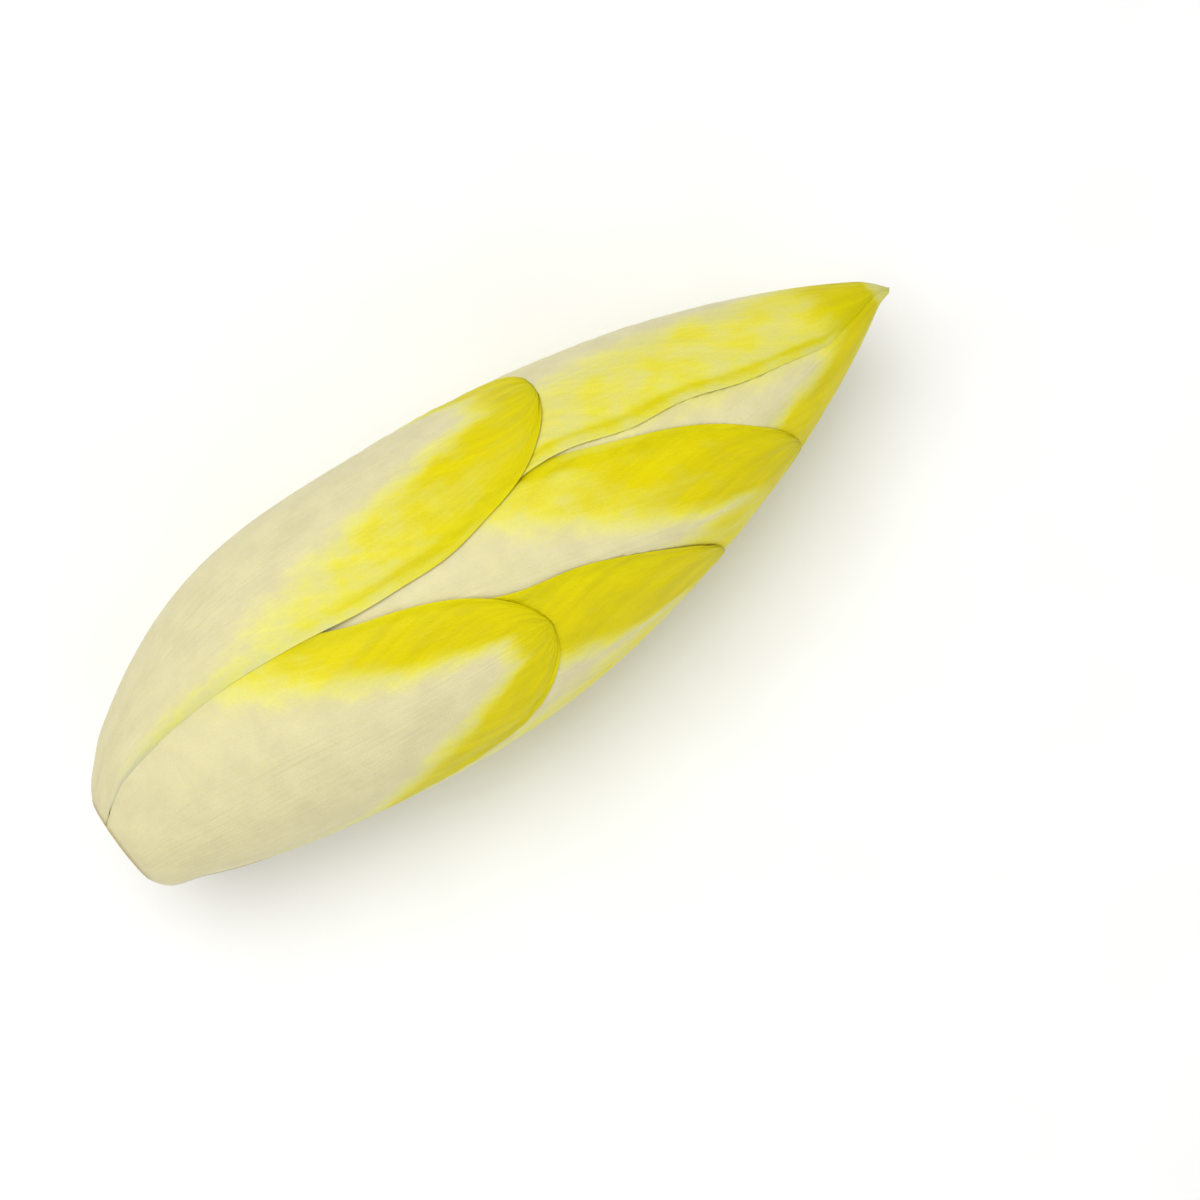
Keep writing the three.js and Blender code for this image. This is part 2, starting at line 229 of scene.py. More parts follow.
def head_radius(x):
    share = np.clip(x / LENGTH, 0, 1)
    down = np.clip((WIDEST_SHARE - share) / WIDEST_SHARE, 0, 1)
    up = np.clip((share - WIDEST_SHARE) / (1 - WIDEST_SHARE), 0, 1)
    low = CUT_RADIUS + (GIRTH_RADIUS - CUT_RADIUS) * (1 - down**BASE_FULLNESS) ** SHOULDER
    low = low - RIM_DROP * np.clip(1 - x / RIM_LENGTH, 0, 1) ** 2
    high = GIRTH_RADIUS * (1 - up**TIP_FULLNESS) ** SHOULDER
    return np.where(share < WIDEST_SHARE, low, high)


def head_bow(x):
    share = x / LENGTH
    belly = BELLY * bell(share, BELLY_AT, BELLY_SPREAD)
    return BOW * np.sin(np.pi * share) + belly * smoothstep(share, 0, 0.05)


def core_radius(x):
    return CORE_RADIUS * np.clip(1 - x / CORE_HEIGHT, 0, 1) ** CORE_TAPER


def head_points(x, angle, radius):
    """Places in the frame from a distance along the head, an angle in radians and a radius."""
    curl = TIP_CURL * np.clip((x / LENGTH - CURL_FROM) / CURL_LENGTH, 0, 1) ** 2
    side = head_bow(x) + radius * np.sin(angle) - curl
    rise = radius * np.cos(angle)
    y = AXIS_Y + side * math.cos(HEAD_ROLL) - rise * math.sin(HEAD_ROLL)
    z = AXIS_Z + side * math.sin(HEAD_ROLL) + rise * math.cos(HEAD_ROLL)
    return np.stack([BASE_X + x, y, np.maximum(z, FLOOR)], axis=-1)


# ---- The depth taken under the head's outline ----
# A field over the distance along the head (rows) and the angle round it (columns) says how deep the leaves
# laid so far reach under the outline.

def local_mean(field, steps, axis):
    """Mean of each cell and its neighbours within steps of it: along the head (0) or round it (1)."""
    if axis == 0:
        padded = np.pad(field, ((steps, steps), (0, 0)), mode="edge")
    else:
        padded = np.pad(field, ((0, 0), (steps, steps)), mode="wrap")
    windows = np.lib.stride_tricks.sliding_window_view(padded, 2 * steps + 1, axis=axis)
    return windows.mean(axis=-1)


def cover_of(depth):
    """How deep the next leaf's outer face lies: a smooth cover under the leaves above it."""
    along = int(round(DRAPE_X / CELL_X))
    around = int(round(DRAPE_ANGLE / CELL_ANGLE))
    cover = depth
    for _ in range(2):
        cover = local_mean(local_mean(cover, along, 0), around, 1)
    return np.maximum(cover, depth)


def sample(field, x, angle):
    """The field between its cells, at x and at an angle in radians."""
    u = np.clip(x / CELL_X, 0, COLUMNS - 1)
    w = np.mod(np.degrees(angle) / CELL_ANGLE, RAYS)
    i = np.minimum(u.astype(int), COLUMNS - 2)
    j = w.astype(int) % RAYS
    k = (j + 1) % RAYS
    t = w - np.floor(w)
    near = mix(field[i, j], field[i, k], t)
    far = mix(field[i + 1, j], field[i + 1, k], t)
    return mix(near, far, u - i)


# ---- One leaf ----

def leaf_middle(leaf, share):
    return np.radians(leaf.angle + leaf.slant * (1 - share**3))


def ripple(u, w, seed, size_u, size_w, waves=7):
    """A smooth random pattern between about -1 and 1, with waves of about the given sizes."""
    rng = np.random.default_rng(seed)
    total = np.zeros(np.broadcast(u, w).shape)
    for _ in range(waves):
        turn = rng.uniform(-1, 1, 2) * 1.4
        total += np.sin(2 * np.pi * (turn[0] * u / size_u + turn[1] * w / size_w) + rng.uniform(0, 6.3))
    return total / math.sqrt(waves)


def leaf_half_angle(leaf, share, x, side):
    """How far the leaf wraps round the head, in radians, towards side 1 or -1."""
    up = np.clip((share - LEAF_WIDEST_SHARE) / (1 - LEAF_WIDEST_SHARE), 0, 1)
    half = leaf.half * (1 + side * leaf.lean) * np.clip(1 - up**LEAF_FULLNESS, 0, 1) ** leaf.point
    wave = ripple(share * leaf.tip_x, side, 40 + leaf.order, WAVE_LENGTH, 0.7, 5)
    half = half * (1 + leaf.wave * wave * smoothstep(share, 0.3, 0.7))
    wrap = half / np.maximum(head_radius(x), 1 * MM)
    grasp = math.radians(FOOT_HALF_ANGLE if leaf.foot > 0 else CUT_FOOT_HALF_ANGLE)
    grasp = grasp * (1 + side * leaf.foot_lean)
    angle = mix(grasp, wrap, smoothstep(share, 0, 0.7))
    return np.minimum(angle, math.radians(MOST_HALF_ANGLE))


def leaf_thickness(leaf, share, across, x):
    rib = leaf.rib * (1 - share) ** RIB_TAPER * bell(across, 0, mix(*RIB_WIDTH, share))
    blade = BLADE_THICKNESS * (1 - BLADE_THINNING * share)
    grip = 1 if leaf.foot == 0 else mix(GRIP_SHARE, 1, smoothstep(x - leaf.foot, 0, GRIP_LENGTH))
    edge = EDGE_THICKNESS * mix(FOOT_EDGE, 1, smoothstep(share, 0.05, 0.45))
    inward = 1 - np.abs(across)
    if leaf.short:
        inward = np.minimum(inward, (1 - share) * leaf.tip_x / leaf.half)
    thick = mix(edge, (rib + blade) * grip, smoothstep(inward, 0, MARGIN_TAPER))
    thick = thick * np.clip(head_radius(x) / SLIM_RADIUS, SLIMMEST, 1)
    fill = FOOT_FILL * (1 - smoothstep(x, 0, FILL_HEIGHT))
    return thick + fill * mix(1, smoothstep(inward, 0, FILL_TAPER), smoothstep(x, 0.4 * MM, 2.5 * MM))


def leaf_relief(leaf, share, across, x):
    """How far the outer face sinks below the leaf's highest lines, beside the rib and in the folds."""
    along = x - leaf.foot
    aside = across * leaf.half
    ridge = bell(across, 0, mix(0.3, 0.07, share))
    sink = RIDGE_HEIGHT * smoothstep(share, 0.3, 0.8) * (1 - ridge)
    blade = smoothstep(np.abs(across), 0.1, 0.45)
    fold = 0.5 + 0.5 * ripple(along, aside, 70 + leaf.order, *FOLD_SIZE)
    sink = sink + FOLD_DEPTH * fold * smoothstep(share, 0.35, 0.8) * blade
    slanted = along - PUCKER_SLANT * np.abs(aside)
    pucker = 0.5 + 0.5 * ripple(slanted, aside, 110 + leaf.order, *PUCKER_SIZE)
    sink = sink + leaf.pucker * pucker * smoothstep(share, 0.4, 0.75) * blade
    crease = bell(1 - np.abs(across), CREASE_AT, 0.05)
    sink = sink + CREASE_DEPTH * crease * smoothstep(share, 0.45, 0.75)
    flute = 0.5 + 0.5 * np.cos(across * FLUTE_TURNS + ripple(along, 0, 90 + leaf.order, 60 * MM, 1))
    sink = sink + FLUTE_DEPTH * flute * (1 - smoothstep(share, 0.5, 0.9))
    return sink * np.clip(head_radius(x) / RELIEF_RADIUS, 0, 1)


def flare_radius(leaf, x):
    """The widest that the foot of a leaf may stand out, where it grows from the side of the core."""
    grip = core_radius(leaf.foot) + LEAF_GAP + leaf_thickness(leaf, 0.0, 0.0, leaf.foot)
    return grip + FLARE * (head_radius(x - leaf.foot) - CUT_RADIUS)


def leaf_faces(leaf, cover, share, across, x, angle):
    """Radii of the leaf's outer and inner face."""
    outer = head_radius(x) - sample(cover, x, angle) - leaf_relief(leaf, share, across, x)
    if leaf.foot > 0:
        flare = flare_radius(leaf, x)
        outer = (outer + flare - np.hypot(outer - flare, FLARE_ROUNDING)) / 2
    core = core_radius(x) + LEAF_GAP
    room_left = mix(0.1, 0.55, smoothstep(x, 0, 9 * MM))
    inner = np.maximum(outer - leaf_thickness(leaf, share, across, x), mix(core, outer, room_left))
    return outer, inner


def take_depth(depth, leaf, cover):
    """Adds the leaf, and a clear gap under it, to the depth that is taken."""
    x = np.arange(COLUMNS)[:, None] * CELL_X
    angle = np.radians(np.arange(RAYS) * CELL_ANGLE)[None, :]
    share = np.clip((x - leaf.foot) / (leaf.tip_x - leaf.foot), 0, 1)
    off = np.mod(angle - leaf_middle(leaf, share) + np.pi, 2 * np.pi) - np.pi
    half = leaf_half_angle(leaf, share, x, np.sign(off)) + math.radians(CELL_ANGLE)
    inside = (np.abs(off) <= half) & (x >= leaf.foot - CELL_X) & (x <= leaf.tip_x + CELL_X)
    across = np.clip(off / half, -1, 1)
    full_x, full_angle = np.broadcast_arrays(x, angle)
    inner = leaf_faces(leaf, cover, share, across, full_x, full_angle)[1]
    taken = head_radius(x) - inner + LEAF_GAP
    return np.where(inside, np.maximum(depth, taken), depth)


def yellow_of(leaf, share, across):
    """How far the tissue has turned from cream to yellow, from 0 to 1."""
    tone = np.zeros(share.shape)
    soft = mix(0.38, 0.16, share)
    for side, (start, full, reach, strength) in ((1, leaf.yellow_plus), (-1, leaf.yellow_minus)):
        grown = np.clip((share - start) / (1 - start), 0, 1)
        border = 1 - reach * grown**0.8
        mask = smoothstep(np.abs(across), border - soft, border + soft)
        strong = strength * smoothstep(share, start - 0.3, full)
        tone = np.where(np.sign(across) == side, mask * strong, tone)
    margin = smoothstep(np.abs(across), 0.6, 1) * smoothstep(share, 0.03, 0.2)
    tone = np.maximum(tone, MARGIN_WARMTH * margin)
    # Painted shade: a thin line of darker yellow along the crease beside each margin, where the fold's shade
    # falls.
    crease = bell(1 - np.abs(across), CREASE_AT, 0.04) * smoothstep(share, 0.4, 0.6)
    tone = np.minimum(tone + CREASE_PAINTED_SHADE * crease, 1)
    tip = smoothstep(share, 0.84, 0.95)
    if not leaf.short:
        end = smoothstep(share, 0.97, 0.985)
        tone = tone * (1 - end)
        tip = tip * (1 - END_PALENESS * end)
    return np.maximum(tone, tip)


def make_mesh(name, vertices, faces, attributes):
    mesh = bpy.data.meshes.new(name)
    mesh.from_pydata([tuple(v) for v in vertices], [], faces)
    for label, values in attributes.items():
        if values.ndim == 1:
            layer = mesh.attributes.new(label, "FLOAT", "POINT")
            layer.data.foreach_set("value", values.astype(np.float32))
        else:
            layer = mesh.attributes.new(label, "FLOAT_VECTOR", "POINT")
            layer.data.foreach_set("vector", values.astype(np.float32).ravel())
    mesh.shade_smooth()
    mesh.set_sharp_from_angle(angle=math.radians(55))
    piece = bpy.data.objects.new(name, mesh)
    bpy.context.scene.collection.objects.link(piece)
    return piece


def clean_faces(faces):
    """Drops the corners that a face repeats and the vertices that no face uses."""
    kept = []
    for face in faces:
        corners = [v for k, v in enumerate(face) if v != face[k - 1]]
        if len(corners) > 2:
            kept.append(corners)
    used = sorted({int(v) for face in kept for v in face})
    new_id = {v: k for k, v in enumerate(used)}
    return np.array(used), [tuple(new_id[int(v)] for v in face) for face in kept]


def leaf_skin_faces(rows, cols):
    """Faces of a closed leaf: its outer grid, its inner grid after it, and the strip that closes the foot.
    The two grids share the vertices of both margins and meet in one point at the tip."""
    count = (cols + 1) * (rows + 1)
    outer = np.arange(count).reshape(rows + 1, cols + 1)
    inner = outer + count
    inner[:, 0] = outer[:, 0]
    inner[:, -1] = outer[:, -1]
    outer[-1, :] = outer[-1, 0]
    inner[-1, :] = outer[-1, 0]
    faces = []
    for r in range(rows):
        for c in range(cols):
            faces.append((outer[r, c], outer[r, c + 1], outer[r + 1, c + 1], outer[r + 1, c]))
            faces.append((inner[r, c], inner[r + 1, c], inner[r + 1, c + 1], inner[r, c + 1]))
    for c in range(cols):
        faces.append((outer[0, c], inner[0, c], inner[0, c + 1], outer[0, c + 1]))
    return faces


def leaf_piece(leaf, cover):
    """One closed leaf: an outer and an inner face that meet in thin rounded margins and at the tip."""
    cols, rows = leaf.across_steps, leaf.along_steps
    step = np.linspace(0, 1, rows + 1)
    share_row = mix(step, (1 - np.cos(np.pi * step)) / 2, 0.6)[:, None]  # closer together at both ends
    across_row = np.sin(np.linspace(-1, 1, cols + 1) * np.pi / 2)[None, :]
    x_row = leaf.foot + (leaf.tip_x - leaf.foot) * share_row
    half = leaf_half_angle(leaf, share_row, x_row, np.sign(across_row))
    angle = leaf_middle(leaf, share_row) + across_row * half
    x, share, across = (np.broadcast_to(part, angle.shape) for part in (x_row, share_row, across_row))

    outer, inner = leaf_faces(leaf, cover, share, across, x, angle)
    width = np.maximum(half * head_radius(x_row), 0.3 * MM)
    from_edge = np.minimum((1 - np.abs(across)) * width, (1 - share) * leaf.tip_x)
    rounding = np.sqrt(np.clip(1 - (1 - np.clip(from_edge / EDGE_ROUNDING, 0, 1)) ** 2, 0, 1))
    middle = (outer + inner) / 2
    top = head_points(x, angle, mix(middle, outer, rounding))
    under = head_points(x, angle, mix(middle, inner, rounding))
    vertices = np.concatenate([top.reshape(-1, 3), under.reshape(-1, 3)])
    used, faces = clean_faces(leaf_skin_faces(rows, cols))

    def on_both_faces(values):
        return np.concatenate([values.reshape(angle.size, -1)] * 2).squeeze()[used]

    browned = 1 - smoothstep(x, 0, CUT_BROWNING) if leaf.foot == 0 else np.zeros_like(x)
    attributes = {
        "place": on_both_faces(np.stack([across * leaf.half / MM, (x - leaf.foot) / MM, share], axis=-1)),
        "tone": on_both_faces(yellow_of(leaf, share, across)),
        "rib": on_both_faces(bell(across, 0, mix(0.5, 0.12, share))),
        "cut": on_both_faces(browned),
    }
    return make_mesh(leaf.node + "_grown", vertices[used], faces, attributes)


# ---- Core and heart bud ----

def ring_faces(rings, around):
    """Quads between rings of vertices that follow each other, and the two fans that close them, each
    round its own point: the two vertices after the rings."""
    faces = []
    for k in range(rings - 1):
        for t in range(around):
            n = (t + 1) % around
            faces.append((k * around + t, (k + 1) * around + t, (k + 1) * around + n, k * around + n))
    first, last = rings * around, rings * around + 1
    for t in range(around):
        n = (t + 1) % around
        faces.append((first, t, n))
        faces.append((last, (rings - 1) * around + n, (rings - 1) * around + t))
    return faces


def core_piece():
    """The stem core: a slightly dished and grained cut face, and a long cone that the leaves grow from."""
    around = 96
    dish_depth = 0.25 * MM
    grain_height = 0.05 * MM
    turns = np.arange(around) * 2 * np.pi / around
    levels = [(0, share) for share in np.linspace(0.04, 1, 16)]
    levels += [(height, 1) for height in CORE_HEIGHT * np.linspace(0.01, 0.985, 40)]
    rings = []
    places = []
    for height, share in levels:
        radius = core_radius(height) * share
        if height == 0:
            dish = dish_depth * math.cos(share * math.pi / 2)
            grain = grain_height * np.sin(turns * 9 + share * 5)
        else:
            dish, grain = 0, 0
        wobble = 1 + 0.012 * np.sin(turns * 5 + height / MM * 0.3)
        x = np.full(around, height + dish) + grain * (1 - share)
        rings.append(head_points(x, turns, radius * wobble))
        places.append(np.stack([radius * np.cos(turns) / MM, radius * np.sin(turns) / MM, x / MM], axis=-1))
    ends = head_points(np.array([dish_depth, CORE_HEIGHT]), np.zeros(2), np.zeros(2))
    end_places = np.array([[0, 0, 0], [0, 0, CORE_HEIGHT / MM]])
    vertices = np.concatenate(rings + [ends])
    place = np.concatenate(places + [end_places])
    return make_mesh("stem_core_grown", vertices, ring_faces(len(levels), around), {"place": place})


BUD_FROM = 43.5 * MM
BUD_TO = 126 * MM
BUD_RADIUS = 12 * MM
BUD_LEAVES = 3  # folded round each other
BUD_WIND = 0.35  # turns that their edges wind round the bud
BUD_STEP = 0.5 * MM


def bud_piece(depth):
    """The youngest leaves, folded round each other: a long bud with their edges winding round it."""
    rings, around = 89, 96
    cover = cover_of(depth)
    pole = -np.cos(np.linspace(0, np.pi, rings + 2))[1:-1, None]
    turns = (np.arange(around) * 2 * np.pi / around)[None, :]
    x = np.broadcast_to(mix(BUD_FROM, BUD_TO, (pole + 1) / 2), (rings, around))
    angle = np.broadcast_to(turns, x.shape)
    free = np.maximum(head_radius(x) - sample(cover, x, angle) - LEAF_GAP, 0.4 * MM)
    radius = np.minimum(free, BUD_RADIUS) * np.sqrt(1 - pole**2) ** 0.8
    wind = np.mod(BUD_LEAVES * (angle / (2 * np.pi) + BUD_WIND * pole), 1)
    radius = radius - BUD_STEP * (1 - wind) * np.sqrt(1 - pole**2)
    points = head_points(x, angle, np.maximum(radius, 0.1 * MM)).reshape(-1, 3)
    ends = head_points(np.array([BUD_FROM, BUD_TO]), np.zeros(2), np.zeros(2))
    share = (pole + 1) / 2 + 0 * turns
    place = np.stack([angle * 8, x / MM, share], axis=-1).reshape(-1, 3)
    place = np.concatenate([place, np.array([[0, BUD_FROM / MM, 0], [0, BUD_TO / MM, 1]])])
    tone = np.concatenate([(0.25 + 0.4 * share).ravel(), [0.2, 0.6]])
    attributes = {"place": place, "tone": tone, "rib": 0 * tone, "cut": 0 * tone}
    vertices = np.concatenate([points, ends])
    return make_mesh("heart_bud_grown", vertices, ring_faces(rings, around), attributes)


# ---- Material tools ----

def new_group(name, inputs, outputs):
    group = bpy.data.node_groups.new(name, "ShaderNodeTree")
    for label, kind, default in inputs:
        made = group.interface.new_socket(name=label, in_out="INPUT", socket_type=kind)
        if default is not None:
            made.default_value = default
    for label, kind in outputs:
        group.interface.new_socket(name=label, in_out="OUTPUT", socket_type=kind)
    return group, group.nodes.new("NodeGroupInput"), group.nodes.new("NodeGroupOutput")


def feed(tree, socket, value):
    """Links the socket to another socket, or sets it to a plain value."""
    if hasattr(value, "links"):
        tree.links.new(value, socket)
    else:
        socket.default_value = value


def math_node(tree, operation, *values, clamp=False):
    node = tree.nodes.new("ShaderNodeMath")
    node.operation = operation
    node.use_clamp = clamp
    for socket, value in zip(node.inputs, values):
        feed(tree, socket, value)
    return node.outputs[0]


def noise_node(tree, vector, scale, detail, roughness, distortion=0.0):
    node = tree.nodes.new("ShaderNodeTexNoise")
    node.inputs["Scale"].default_value = scale
    node.inputs["Detail"].default_value = detail
    node.inputs["Roughness"].default_value = roughness
    node.inputs["Distortion"].default_value = distortion
    tree.links.new(vector, node.inputs["Vector"])
    return node.outputs["Fac"]


def range_node(tree, value, from_low, from_high, to_low=0.0, to_high=1.0):
    """Smoothly takes from_low..from_high to to_low..to_high."""
    node = tree.nodes.new("ShaderNodeMapRange")
    node.interpolation_type = "SMOOTHSTEP"
    tree.links.new(value, node.inputs["Value"])
    node.inputs["From Min"].default_value = from_low
    node.inputs["From Max"].default_value = from_high
    node.inputs["To Min"].default_value = to_low
    node.inputs["To Max"].default_value = to_high
    return node.outputs["Result"]


def swing(tree, noise):
    """A noise about zero, from -0.5 to 0.5."""
    return range_node(tree, noise, 0.3, 0.7, -0.5, 0.5)


def vector_node(tree, x, y, z):
    node = tree.nodes.new("ShaderNodeCombineXYZ")
    for socket, value in zip(node.inputs, (x, y, z)):
        feed(tree, socket, value)
    return node.outputs[0]


def colour_mix(tree, factor, a, b, blend="MIX"):
    node = tree.nodes.new("ShaderNodeMix")
    node.data_type = "RGBA"
    node.blend_type = blend
    for index, value in ((0, factor), (6, a), (7, b)):
        feed(tree, node.inputs[index], value)
    return node.outputs[2]


def bump_node(tree, height, distance):
    node = tree.nodes.new("ShaderNodeBump")
    node.inputs["Strength"].default_value = 1.0
    node.inputs["Distance"].default_value = distance
    tree.links.new(height, node.inputs["Height"])
    return node.outputs["Normal"]


def attribute_node(tree, name):
    node = tree.nodes.new("ShaderNodeAttribute")
    node.attribute_name = name
    return node


def new_material(name):
    material = bpy.data.materials.new(name)
    material.use_nodes = True
    tree = material.node_tree
    return material, tree, tree.nodes["Principled BSDF"]


# ---- Leaf skin ----

CREAM = (0.75, 0.69, 0.40, 1)
PALE = (0.79, 0.75, 0.24, 1)
LEMON = (0.785, 0.72, 0.07, 1)
YELLOW = (0.72, 0.62, 0.0, 1)
CUT_BROWN = (0.42, 0.29, 0.09, 1)


def veins_group():
    """Streaks along the leaf, veins that branch from the midrib, fine grain and broad clouds, from a place
    on the leaf: the distances from the midrib and from the foot, both in millimetres."""
    outputs = [(label, "NodeSocketFloat") for label in ("Streaks", "Branches", "Grain", "Cloud")]
    group, into, out = new_group("leaf_veins", [("Place", "NodeSocketVector", None)], outputs)
    place = into.outputs["Place"]
    parts = group.nodes.new("ShaderNodeSeparateXYZ")
    group.links.new(place, parts.inputs[0])
    aside, along = parts.outputs[0], parts.outputs[1]

    streak_at = vector_node(group, aside, math_node(group, "MULTIPLY", along, 0.035), 0)
    half_along = math_node(group, "MULTIPLY", along, 0.5)
    out_way = math_node(group, "MULTIPLY", math_node(group, "ABSOLUTE", aside), 0.95)
    slanted = math_node(group, "SUBTRACT", half_along, out_way)
    branch_at = vector_node(group, slanted, math_node(group, "MULTIPLY", aside, 0.09), 3.0)

    group.links.new(noise_node(group, streak_at, 1.3, 4, 0.6), out.inputs["Streaks"])
    group.links.new(noise_node(group, branch_at, 0.55, 3, 0.5, 0.1), out.inputs["Branches"])
    group.links.new(noise_node(group, place, 3.5, 3, 0.6), out.inputs["Grain"])
    group.links.new(noise_node(group, place, 0.16, 3, 0.55), out.inputs["Cloud"])
    return group


def tissue_group():
    """Leaf colour from its tone: cream, then pale, lemon and full yellow, a little uneven, with veins that
    show more in the yellow parts."""
    inputs = [("Tone", "NodeSocketFloat", 0.0)]
    inputs += [(label, "NodeSocketFloat", 0.5) for label in ("Cloud", "Grain", "Branches")]
    group, into, out = new_group("leaf_tissue", inputs, [("Colour", "NodeSocketColor")])
    tone = into.outputs["Tone"]
    colour = colour_mix(group, range_node(group, tone, 0.0, 0.4), CREAM, PALE)
    colour = colour_mix(group, range_node(group, tone, 0.3, 0.75), colour, LEMON)
    colour = colour_mix(group, range_node(group, tone, 0.6, 1.0), colour, YELLOW)
    shade = range_node(group, into.outputs["Cloud"], 0.3, 0.7, 0.95, 1.03)
    speck = range_node(group, into.outputs["Grain"], 0.3, 0.7, 0.98, 1.02)
    vein_strength = math_node(group, "MULTIPLY_ADD", tone, 0.09, 0.012)
    vein = math_node(group, "MULTIPLY_ADD", swing(group, into.outputs["Branches"]), vein_strength, 1.0)
    light = math_node(group, "MULTIPLY", math_node(group, "MULTIPLY", shade, speck), vein)
    grey = vector_node(group, light, light, light)
    group.links.new(colour_mix(group, 1.0, colour, grey, "MULTIPLY"), out.inputs["Colour"])
    return group


def uneven_tone(tree, vein, warmth):
    """The leaf's tone, plus warmth, frayed along veins, streaks and clouds where it is between its ends."""
    tone = attribute_node(tree, "tone").outputs["Fac"]
    between = math_node(tree, "MULTIPLY", tone, math_node(tree, "SUBTRACT", 1.15, tone))
    branching = math_node(tree, "MULTIPLY", swing(tree, vein.outputs["Branches"]), 0.34)
    branched = math_node(tree, "MULTIPLY_ADD", branching, math_node(tree, "MULTIPLY", between, 0.7), tone)
    streaked = math_node(tree, "MULTIPLY_ADD", swing(tree, vein.outputs["Streaks"]), 0.07, branched)
    cloudiness = math_node(tree, "MULTIPLY", between, 0.9)
    clouded = math_node(tree, "MULTIPLY_ADD", swing(tree, vein.outputs["Cloud"]), cloudiness, streaked)
    return math_node(tree, "ADD", clouded, warmth, clamp=True)


def vein_height(tree, vein):
    """Height of the skin: ribs, fine grain, and branching veins that stand out where the leaf is yellow."""
    rib = attribute_node(tree, "rib").outputs["Fac"]
    tone = attribute_node(tree, "tone").outputs["Fac"]
    rib_strength = math_node(tree, "MULTIPLY_ADD", rib, 0.5, 0.5)
    ribbed = math_node(tree, "MULTIPLY", vein.outputs["Streaks"], rib_strength)
    branch_strength = range_node(tree, tone, 0.05, 0.6, 0.0, 0.8)
    branched = math_node(tree, "MULTIPLY", vein.outputs["Branches"], branch_strength)
    grain = math_node(tree, "MULTIPLY", vein.outputs["Grain"], 0.18)
    return math_node(tree, "ADD", math_node(tree, "ADD", ribbed, branched), grain)


def leaf_material(name, veins, tissue, warmth, gloss, relief):
    """Waxy leaf skin: warmth adds yellow all over, gloss is the coat of wax and relief the veins' height."""
    material, tree, shader = new_material(name)
    vein = tree.nodes.new("ShaderNodeGroup")
    vein.node_tree = veins
    tree.links.new(attribute_node(tree, "place").outputs["Vector"], vein.inputs["Place"])
    skin = tree.nodes.new("ShaderNodeGroup")
    skin.node_tree = tissue
    tree.links.new(uneven_tone(tree, vein, warmth), skin.inputs["Tone"])
    for label in ("Cloud", "Grain", "Branches"):
        tree.links.new(vein.outputs[label], skin.inputs[label])

    patchy = range_node(tree, vein.outputs["Grain"], 0.3, 0.6, 0.35, 0.8)
    brown = math_node(tree, "MULTIPLY", attribute_node(tree, "cut").outputs["Fac"], patchy)
    tree.links.new(colour_mix(tree, brown, skin.outputs["Colour"], CUT_BROWN), shader.inputs["Base Color"])
    roughness = range_node(tree, vein.outputs["Streaks"], 0.25, 0.75, 0.36, 0.52)
    tree.links.new(roughness, shader.inputs["Roughness"])
    tree.links.new(bump_node(tree, vein_height(tree, vein), relief), shader.inputs["Normal"])
    shader.inputs["Subsurface Weight"].default_value = 0.3
    shader.inputs["Subsurface Radius"].default_value = (1.0, 0.85, 0.35)
    shader.inputs["Subsurface Scale"].default_value = 0.5 * MM
    shader.inputs["IOR"].default_value = 1.42
    shader.inputs["Specular IOR Level"].default_value = 0.12
    shader.inputs["Coat Weight"].default_value = gloss
    shader.inputs["Coat Roughness"].default_value = 0.3
    return material


# ---- Cut stem and table ----

PITH = (0.80, 0.72, 0.50, 1)
DRY_RIM = (0.56, 0.40, 0.20, 1)
VESSELS = (0.86, 0.80, 0.62, 1)


def flesh_material():
    """Cut pith of the stem: pale, matt and dry, browner towards its rim, with pale dots of vessels."""
    material, tree, shader = new_material("cut_stem")
    place = attribute_node(tree, "place").outputs["Vector"]
    parts = tree.nodes.new("ShaderNodeSeparateXYZ")
    tree.links.new(place, parts.inputs[0])
    squares = [math_node(tree, "POWER", parts.outputs[axis], 2.0) for axis in (0, 1)]
    radius = math_node(tree, "SQRT", math_node(tree, "ADD", *squares))  # in millimetres
    blot = noise_node(tree, place, 0.7, 4, 0.6)
    fleck = noise_node(tree, place, 3.0, 2, 0.5)
    rim = range_node(tree, math_node(tree, "MULTIPLY_ADD", blot, 2.5, radius), 3.6, 7.2)
    colour = colour_mix(tree, rim, PITH, DRY_RIM)
    colour = colour_mix(tree, range_node(tree, fleck, 0.52, 0.66, 0.0, 0.5), colour, VESSELS)
    tree.links.new(colour, shader.inputs["Base Color"])
    tree.links.new(range_node(tree, blot, 0.3, 0.7, 0.5, 0.75), shader.inputs["Roughness"])
    height = math_node(tree, "ADD", fleck, blot)
    tree.links.new(bump_node(tree, height, 0.25 * MM), shader.inputs["Normal"])
    shader.inputs["Subsurface Weight"].default_value = 0.2
    shader.inputs["Subsurface Radius"].default_value = (1.0, 0.8, 0.4)
    shader.inputs["Subsurface Scale"].default_value = 1.5 * MM
    return material


def table_material():
    material, tree, shader = new_material("pale_table")
    grain = noise_node(tree, tree.nodes.new("ShaderNodeTexCoord").outputs["Object"], 40, 2, 0.5)
    white = range_node(tree, grain, 0.3, 0.7, 0.93, 0.95)
    tree.links.new(vector_node(tree, white, white, white), shader.inputs["Base Color"])
    shader.inputs["Roughness"].default_value = 0.55
    return material


# ---- Growing the head ----

def finish_piece(piece, node, material):
    piece.data.materials.append(material)
    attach(piece, "root")
    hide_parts(node)


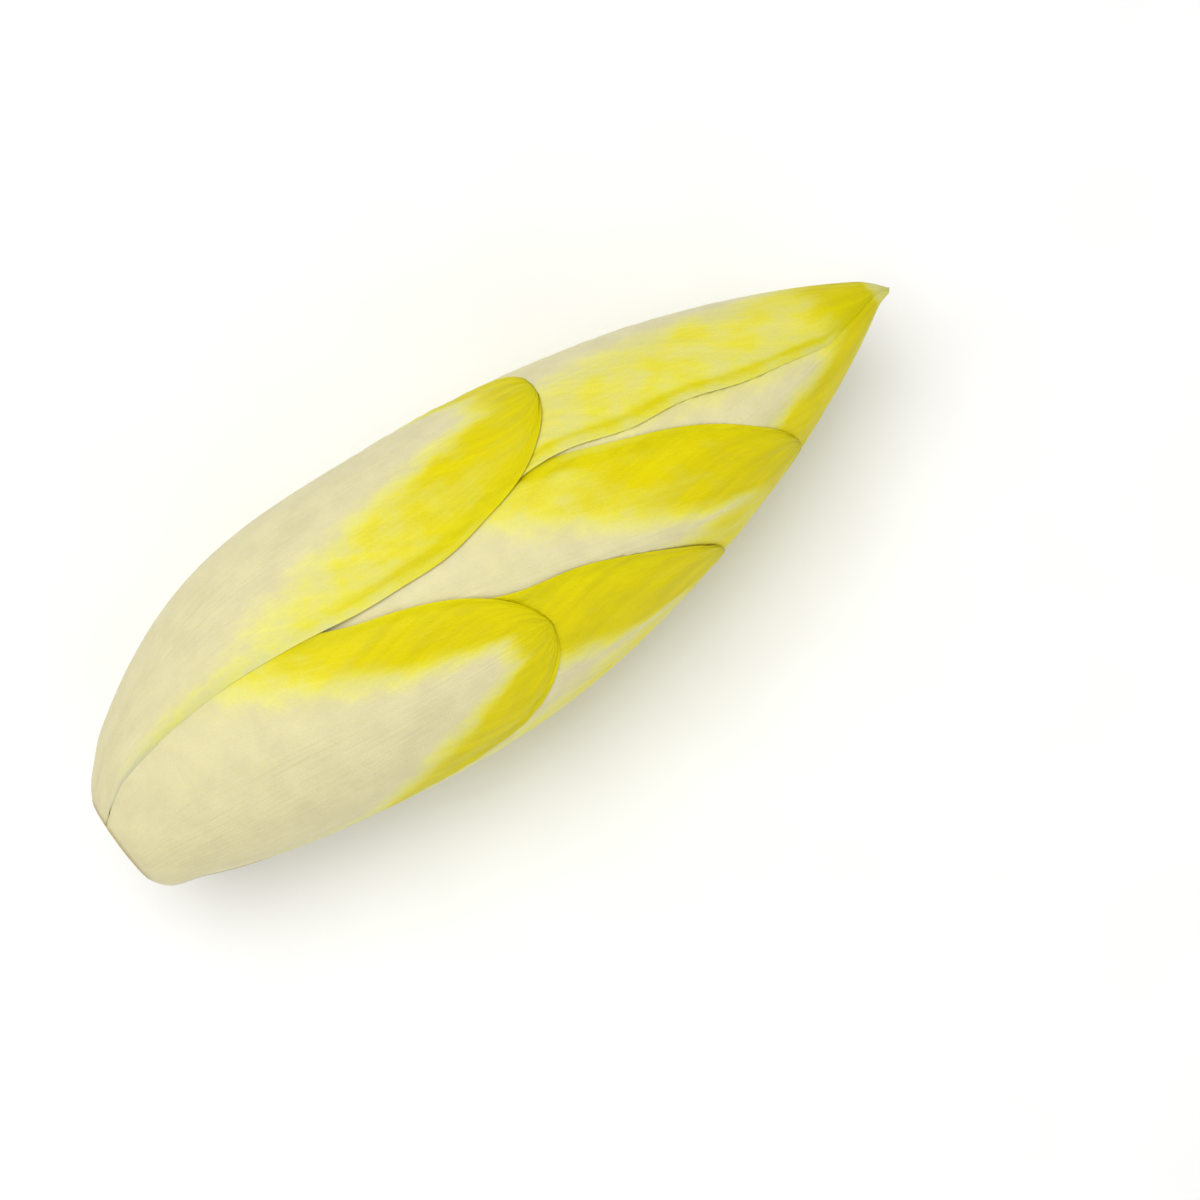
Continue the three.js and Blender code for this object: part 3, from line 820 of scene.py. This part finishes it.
def grow_head():
    veins = veins_group()
    tissue = tissue_group()
    skins = {
        "outer_leaf": leaf_material("outer_leaf_skin", veins, tissue, 0.0, 0.02, 0.22 * MM),
        "middle_leaf": leaf_material("middle_leaf_skin", veins, tissue, 0.05, 0.03, 0.24 * MM),
        "inner_leaf": leaf_material("inner_leaf_skin", veins, tissue, 0.1, 0.2, 0.2 * MM),
        "heart": leaf_material("heart_skin", veins, tissue, 0.15, 0.2, 0.2 * MM),
    }
    depth = np.zeros((COLUMNS, RAYS))
    for order, row in enumerate(LEAVES):
        leaf = Leaf(order, row)
        cover = cover_of(depth)
        slot = "heart" if leaf.node.startswith("heart") else leaf.node[:-3]
        finish_piece(leaf_piece(leaf, cover), leaf.node, skins[slot])
        depth = take_depth(depth, leaf, cover)
    finish_piece(bud_piece(depth), "heart_bud", skins["heart"])
    finish_piece(core_piece(), "stem_core", flesh_material())


# ---- Table, light and camera ----

TABLE_SIDE = 3.0
TABLE_DROP = 0.05 * MM  # the table lies this much under the leaves that rest on it
LIGHT_TARGET = (0, 0, 0.02)

VIEW_AZIMUTH = math.radians(-36.3)
VIEW_ELEVATION = math.radians(86)
VIEW_WIDTH = 0.1962  # of the picture, at the height of the head's axis
LENS = 100
SENSOR = 36
AIM_RIGHT = 15.2 * MM  # of the head's middle
AIM_DOWN = 6.7 * MM


def make_table():
    side = TABLE_SIDE / 2
    mesh = bpy.data.meshes.new("table")
    corners = [(-side, -side), (side, -side), (side, side), (-side, side)]
    mesh.from_pydata([(x, y, FLOOR - TABLE_DROP) for x, y in corners], [], [(0, 1, 2, 3)])
    mesh.materials.append(table_material())
    floor = bpy.data.objects.new("table", mesh)
    bpy.context.scene.collection.objects.link(floor)


def area_light(name, place, size, power):
    data = bpy.data.lights.new(name, "AREA")
    data.shape = "SQUARE"
    data.size = size
    data.energy = power
    light = bpy.data.objects.new(name, data)
    light.location = place
    light.rotation_euler = (Vector(LIGHT_TARGET) - Vector(place)).to_track_quat("-Z", "Y").to_euler()
    bpy.context.scene.collection.objects.link(light)


def make_world():
    world = bpy.data.worlds.new("studio")
    world.use_nodes = True
    background = world.node_tree.nodes["Background"]
    background.inputs["Color"].default_value = (1, 1, 1, 1)
    background.inputs["Strength"].default_value = 0.5
    bpy.context.scene.world = world


def make_camera():
    """Puts up the camera and gives back its directions to the right, up and back."""
    a, e = VIEW_AZIMUTH, VIEW_ELEVATION
    right = Vector((math.cos(a), math.sin(a), 0))
    up = Vector((-math.sin(a) * math.sin(e), math.cos(a) * math.sin(e), math.cos(e)))
    back = Vector((math.sin(a) * math.cos(e), -math.cos(a) * math.cos(e), math.sin(e)))
    middle = Vector((BASE_X + LENGTH / 2, AXIS_Y, AXIS_Z))
    aim = middle + right * AIM_RIGHT - up * AIM_DOWN
    data = bpy.data.cameras.new("camera")
    data.lens = LENS
    data.sensor_width = SENSOR
    camera = bpy.data.objects.new("camera", data)
    camera.location = aim + back * (VIEW_WIDTH * LENS / SENSOR)
    camera.rotation_euler = (-back).to_track_quat("-Z", "Y").to_euler()
    bpy.context.scene.collection.objects.link(camera)
    bpy.context.scene.camera = camera
    return right, up, back


grow_head()
make_table()
make_world()
right, up, back = make_camera()
area_light("soft_key", up * 0.17 - right * 0.22 + back * 0.88, 0.7, 5.5)
area_light("soft_fill", right * 0.5 - up * 0.5 + back * 0.5, 0.8, 1.3)
bpy.context.scene.view_settings.view_transform = "Standard"
